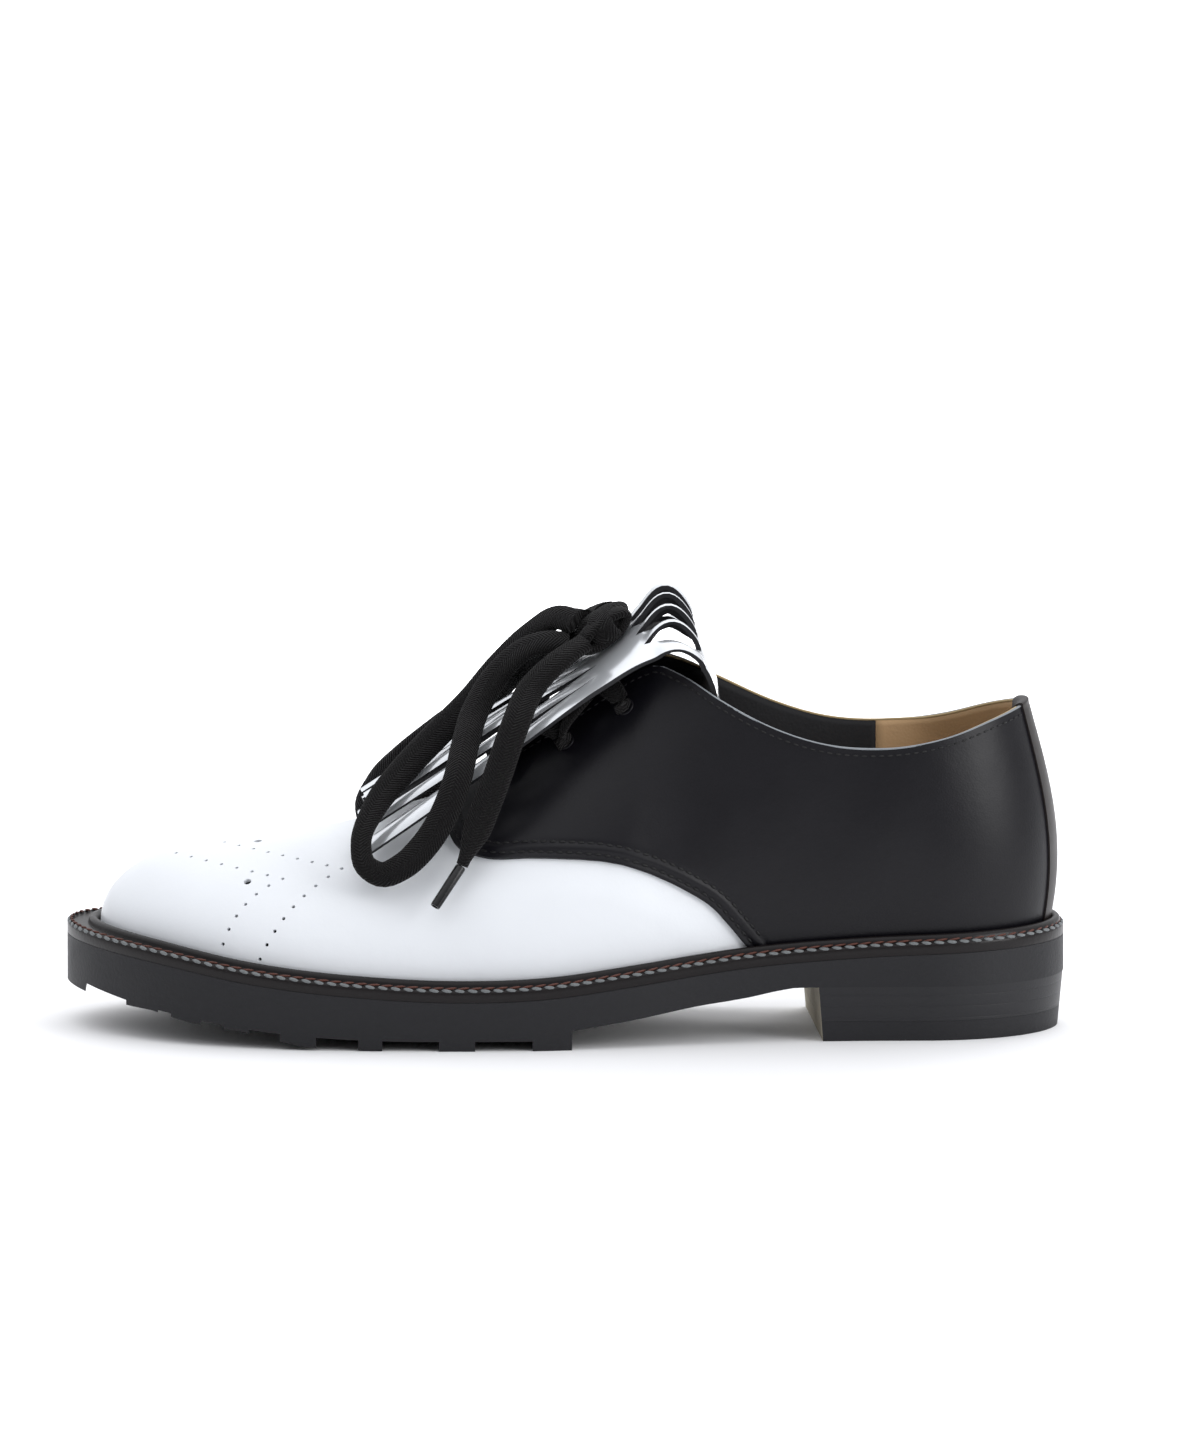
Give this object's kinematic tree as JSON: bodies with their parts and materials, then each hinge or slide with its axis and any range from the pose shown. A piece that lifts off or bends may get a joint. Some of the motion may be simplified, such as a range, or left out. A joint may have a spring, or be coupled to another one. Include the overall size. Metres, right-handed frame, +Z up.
{
  "type": "oxford shoe",
  "caption": "Left lace-up dress shoe with a two-tone leather upper, a folded kiltie tongue, a tied bow and a welted, lugged rubber sole.",
  "frame": {"origin": "middle of the footprint's box, on the floor", "axes": "+X from toe to heel, +Y to the inner (medial) side, +Z up"},
  "size_m": [0.275, 0.1, 0.1196],
  "materials": {
    "moulded_rubber": "matte, moulded",
    "heel_stack": "satin, dyed edge",
    "top_piece_rubber": "matte",
    "welt_leather": "polished, dark brown",
    "insole_leather": "natural tan, matte",
    "upper_leather": "smooth, satin; the vamp is white in the visual model",
    "patent_leather": "patent, mirror gloss",
    "lace_cotton": "woven, matte",
    "aglet_plastic": "gloss"
  },
  "bodies": {
    "root": {"outsole": "moulded_rubber", "heel_block": "heel_stack", "heel_top_piece": "top_piece_rubber", "welt": "welt_leather", "insole": "insole_leather", "upper": "upper_leather", "tongue": "patent_leather", "lace_bars": "lace_cotton", "lace_knot": "lace_cotton", "lace_loop_lateral": "lace_cotton", "lace_loop_medial": "lace_cotton", "lace_end_lateral": "lace_cotton", "lace_end_medial": "lace_cotton", "aglet_lateral": "aglet_plastic", "aglet_medial": "aglet_plastic"}
  },
  "joints": []
}
